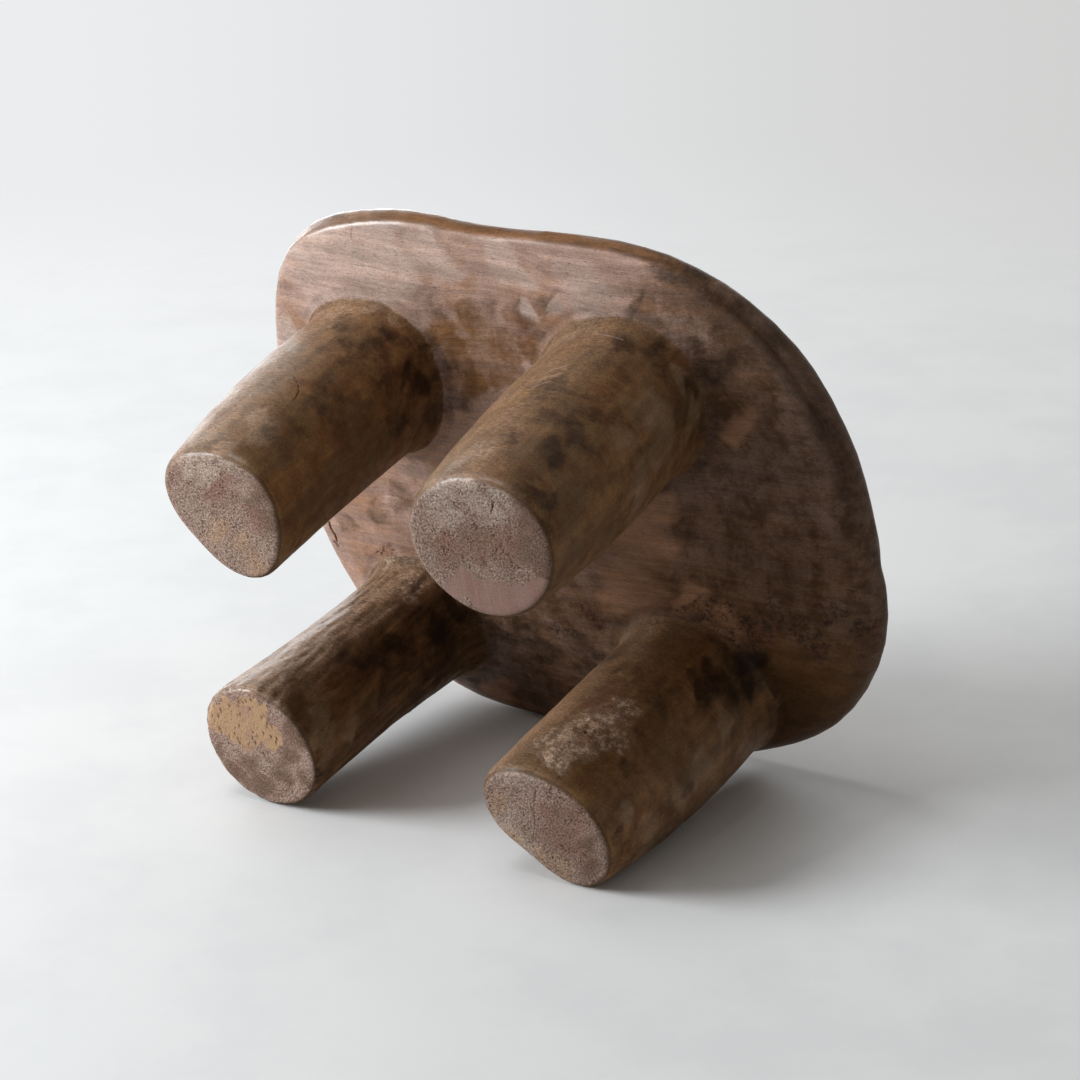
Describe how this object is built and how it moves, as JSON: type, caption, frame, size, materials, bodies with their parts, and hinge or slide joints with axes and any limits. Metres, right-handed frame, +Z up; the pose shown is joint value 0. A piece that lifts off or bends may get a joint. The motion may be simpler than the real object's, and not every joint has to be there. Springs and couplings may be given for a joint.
{
  "type": "carved wooden stool",
  "caption": "Low monoxylous stool carved from one block of dark wood: a gently dished, rounded-rectangular seat on thick tapering legs with flat worn soles.",
  "frame": {"origin": "on the floor under the middle of the seat's outline, with the four soles at z = 0", "axes": "+Z up through the seat; +X along the seat's long side to its right-hand end; -Y is the front"},
  "size_m": [0.4, 0.341, 0.1995],
  "materials": {
    "seat_wood": "waxed, satin",
    "leg_wood": "waxed, satin, worn at the feet"
  },
  "bodies": {
    "root": {"seat": "seat_wood", "leg_front_left": "leg_wood", "leg_front_right": "leg_wood", "leg_rear_left": "leg_wood", "leg_rear_right": "leg_wood"}
  },
  "joints": []
}
